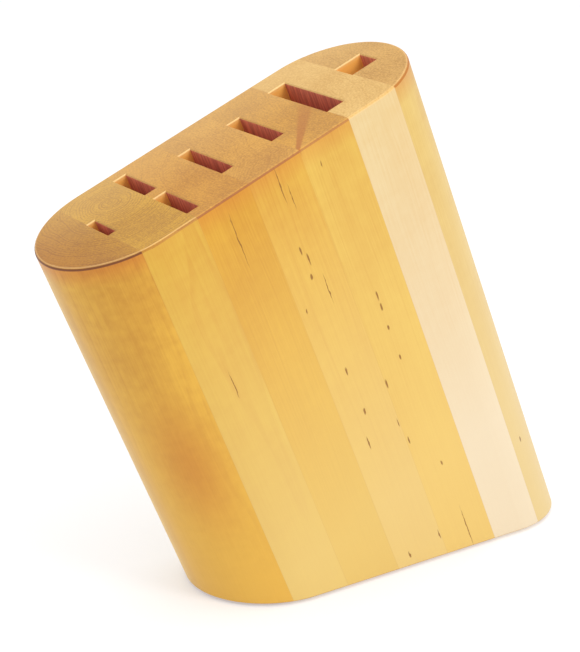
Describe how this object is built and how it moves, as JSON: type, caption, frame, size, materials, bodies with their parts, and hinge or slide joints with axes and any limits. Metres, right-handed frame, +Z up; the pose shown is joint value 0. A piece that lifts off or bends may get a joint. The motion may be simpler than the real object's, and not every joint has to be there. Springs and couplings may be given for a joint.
{
  "type": "knife block",
  "caption": "Leaning countertop knife block of glued wooden staves with round ends, blade slots and a square hole for a steel in the slanted top, on screwed rubber feet.",
  "frame": {"origin": "on the table under the middle of the block, at the centre of its outline seen from above", "axes": "+Z up, +Y towards the high end away from the user, +X to the right of a user who faces the low end; X is the direction across the flat sides"},
  "size_m": [0.08, 0.2893, 0.2551],
  "materials": {
    "birch_amber_tan": "satin clear lacquer",
    "birch_honey": "satin clear lacquer",
    "birch_warm_honey": "satin clear lacquer",
    "birch_straw": "satin clear lacquer",
    "birch_amber": "satin clear lacquer",
    "birch_cream": "satin clear lacquer",
    "birch_pale_gold": "satin clear lacquer",
    "foot_rubber": "matt",
    "screw_steel": "zinc plated"
  },
  "bodies": {
    "root": {"stave_1_low_end": "birch_amber_tan", "stave_2": "birch_honey", "stave_3": "birch_warm_honey", "stave_4": "birch_straw", "stave_5": "birch_amber", "stave_6": "birch_cream", "stave_7_high_end": "birch_pale_gold", "foot_front_left": "foot_rubber", "foot_front_right": "foot_rubber", "foot_rear_left": "foot_rubber", "foot_rear_right": "foot_rubber", "foot_screws": "screw_steel"}
  },
  "joints": []
}
